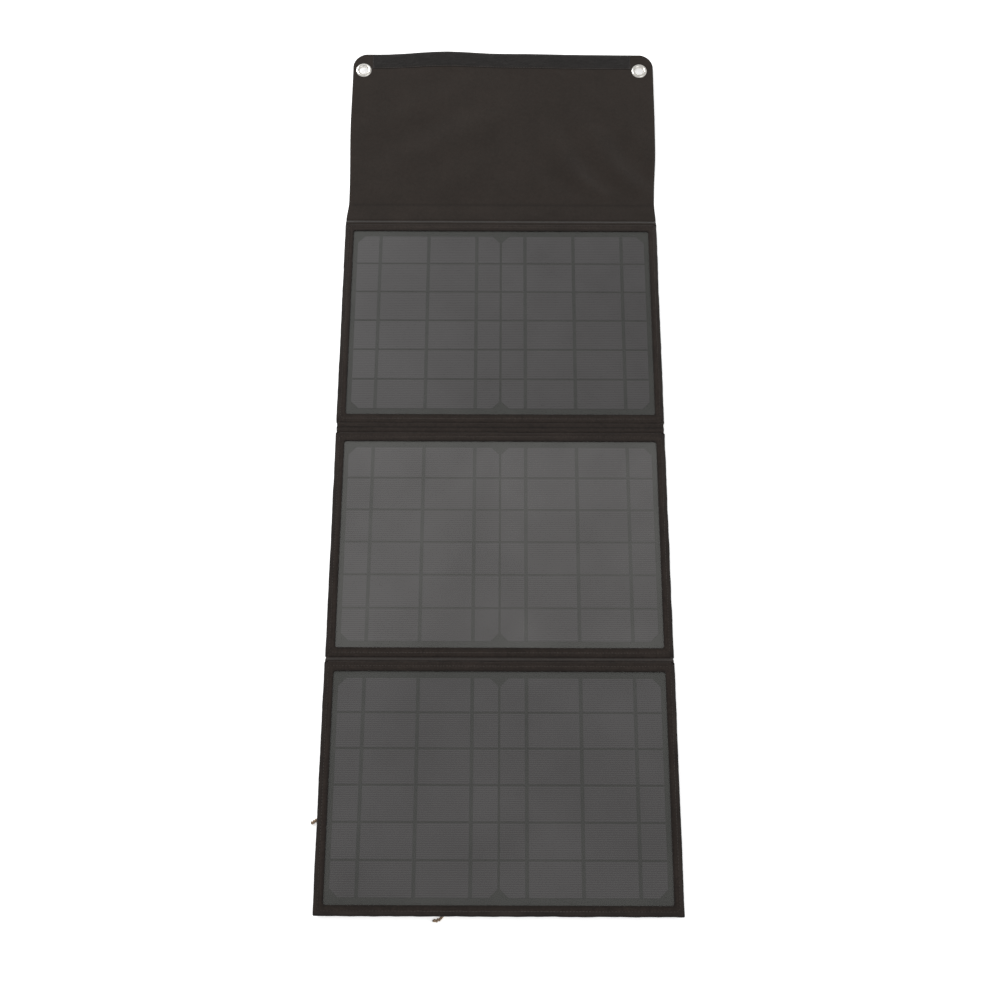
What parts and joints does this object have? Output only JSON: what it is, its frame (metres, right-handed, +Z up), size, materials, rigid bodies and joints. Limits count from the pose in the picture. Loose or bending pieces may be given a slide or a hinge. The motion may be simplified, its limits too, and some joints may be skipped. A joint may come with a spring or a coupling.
{
  "type": "folding solar panel",
  "caption": "Folding cloth solar panel: a row of stiff framed panels joined by cloth hinges, a closing flap with corner eyelets, and a zipped rear pocket.",
  "frame": {"origin": "middle of the underside, on the ground the open panel lies on", "axes": "+X across the panels along the hinges, +Y from the bottom panel to the flap, +Z up out of the solar faces"},
  "size_m": [0.3516, 0.966, 0.0108],
  "materials": {
    "cloth": "woven polyester, dull",
    "trim": "bound cloth edge and hook and loop",
    "cell": "dark silicon, satin",
    "ribbon": "blackened ribbon",
    "film": "clear laminate front, satin",
    "backsheet": "dark backing film",
    "board": "stiffening board",
    "moulding": "black moulded plastic",
    "lead": "black flat cable",
    "eyelet": "nickel plated",
    "zip": "black coil zip",
    "slider": "dark painted zinc",
    "pull_cord": "tan brown braid",
    "circuit": "green circuit board",
    "plated": "plated steel",
    "lens": "green light pipe"
  },
  "bodies": {
    "middle_panel": {"middle_binding": "trim", "middle_front_cloth": "cloth", "middle_back_cloth": "cloth", "middle_board": "board", "middle_backsheet": "backsheet", "middle_cells": "cell", "middle_ribbons": "ribbon", "middle_film": "film", "middle_junction": "moulding", "crease_middle": "cloth", "middle_lead": "lead", "loop_strip": "trim"},
    "hinge_strip_body": {"hinge_strip": "cloth", "strip_lead": "lead"},
    "top_panel": {"top_binding": "trim", "top_front_cloth": "cloth", "top_back_cloth": "cloth", "top_board": "board", "top_backsheet": "backsheet", "top_cells": "cell", "top_ribbons": "ribbon", "top_film": "film", "top_junction": "moulding", "top_lead": "lead", "flap_hem": "cloth"},
    "flap_spine_body": {"flap_spine": "cloth"},
    "flap_cover": {"flap_front_cloth": "cloth", "flap_back_cloth": "cloth", "hook_strip": "trim", "eyelet_barrels": "eyelet", "eyelet_washers": "eyelet"},
    "bottom_panel": {"bottom_binding": "trim", "bottom_front_cloth": "cloth", "bottom_back_cloth": "cloth", "bottom_board": "board", "bottom_backsheet": "backsheet", "bottom_cells": "cell", "bottom_ribbons": "ribbon", "bottom_film": "film", "bottom_junction": "moulding", "crease_bottom": "cloth", "bottom_lead": "lead", "pocket_cloth": "cloth", "zip_tape": "trim", "zip_teeth": "zip", "regulator_base": "moulding", "regulator_lid": "moulding", "regulator_screws": "plated", "circuit_board": "circuit", "usb_a_socket": "plated", "usb_c_socket": "plated", "status_lens": "lens"},
    "side_slider_body": {"side_slider": "slider"},
    "end_slider_body": {"end_slider": "slider"},
    "side_cord_body": {"side_pull_cord": "pull_cord"},
    "end_cord_body": {"end_pull_cord": "pull_cord"}
  },
  "joints": [
    {"name": "top_fold_lower", "type": "hinge", "parent": "middle_panel", "child": "hinge_strip_body", "pos_m": [0, 0.00674, 0.0055], "axis": [1, 0, 0], "range_deg": [-15, 90]},
    {"name": "top_fold_upper", "type": "hinge", "parent": "hinge_strip_body", "child": "top_panel", "pos_m": [0, 0.01694, 0.0055], "axis": [1, 0, 0], "range_deg": [-15, 90]},
    {"name": "bottom_fold", "type": "hinge", "parent": "middle_panel", "child": "bottom_panel", "pos_m": [0, -0.23716, 0.00765], "axis": [-1, 0, 0], "range_deg": [-30, 180]},
    {"name": "flap_fold_inner", "type": "hinge", "parent": "top_panel", "child": "flap_spine_body", "pos_m": [0, 0.26384, 0.0016], "axis": [1, 0, 0], "range_deg": [-20, 90]},
    {"name": "flap_fold_outer", "type": "hinge", "parent": "flap_spine_body", "child": "flap_cover", "pos_m": [0, 0.28484, 0.0016], "axis": [1, 0, 0], "range_deg": [-20, 87.5]},
    {"name": "side_zip", "type": "slide", "parent": "bottom_panel", "child": "side_slider_body", "axis": [0, 1, 0], "range_m": [-0.056, 0.089]},
    {"name": "end_zip", "type": "slide", "parent": "bottom_panel", "child": "end_slider_body", "axis": [1, 0, 0], "range_m": [-0.0735, 0.1275]},
    {"name": "side_cord_swing", "type": "hinge", "parent": "side_slider_body", "child": "side_cord_body", "pos_m": [-0.1585, -0.36716, 0.0012], "axis": [0, 0, 1], "range_deg": [-60, 30]},
    {"name": "end_cord_swing", "type": "hinge", "parent": "end_slider_body", "child": "end_cord_body", "pos_m": [-0.0295, -0.46666, 0.0012], "axis": [0, 0, -1], "range_deg": [-60, 30]}
  ],
  "couplings": [
    {"joint": "top_fold_upper", "follows": "top_fold_lower", "ratio": 1}
  ]
}
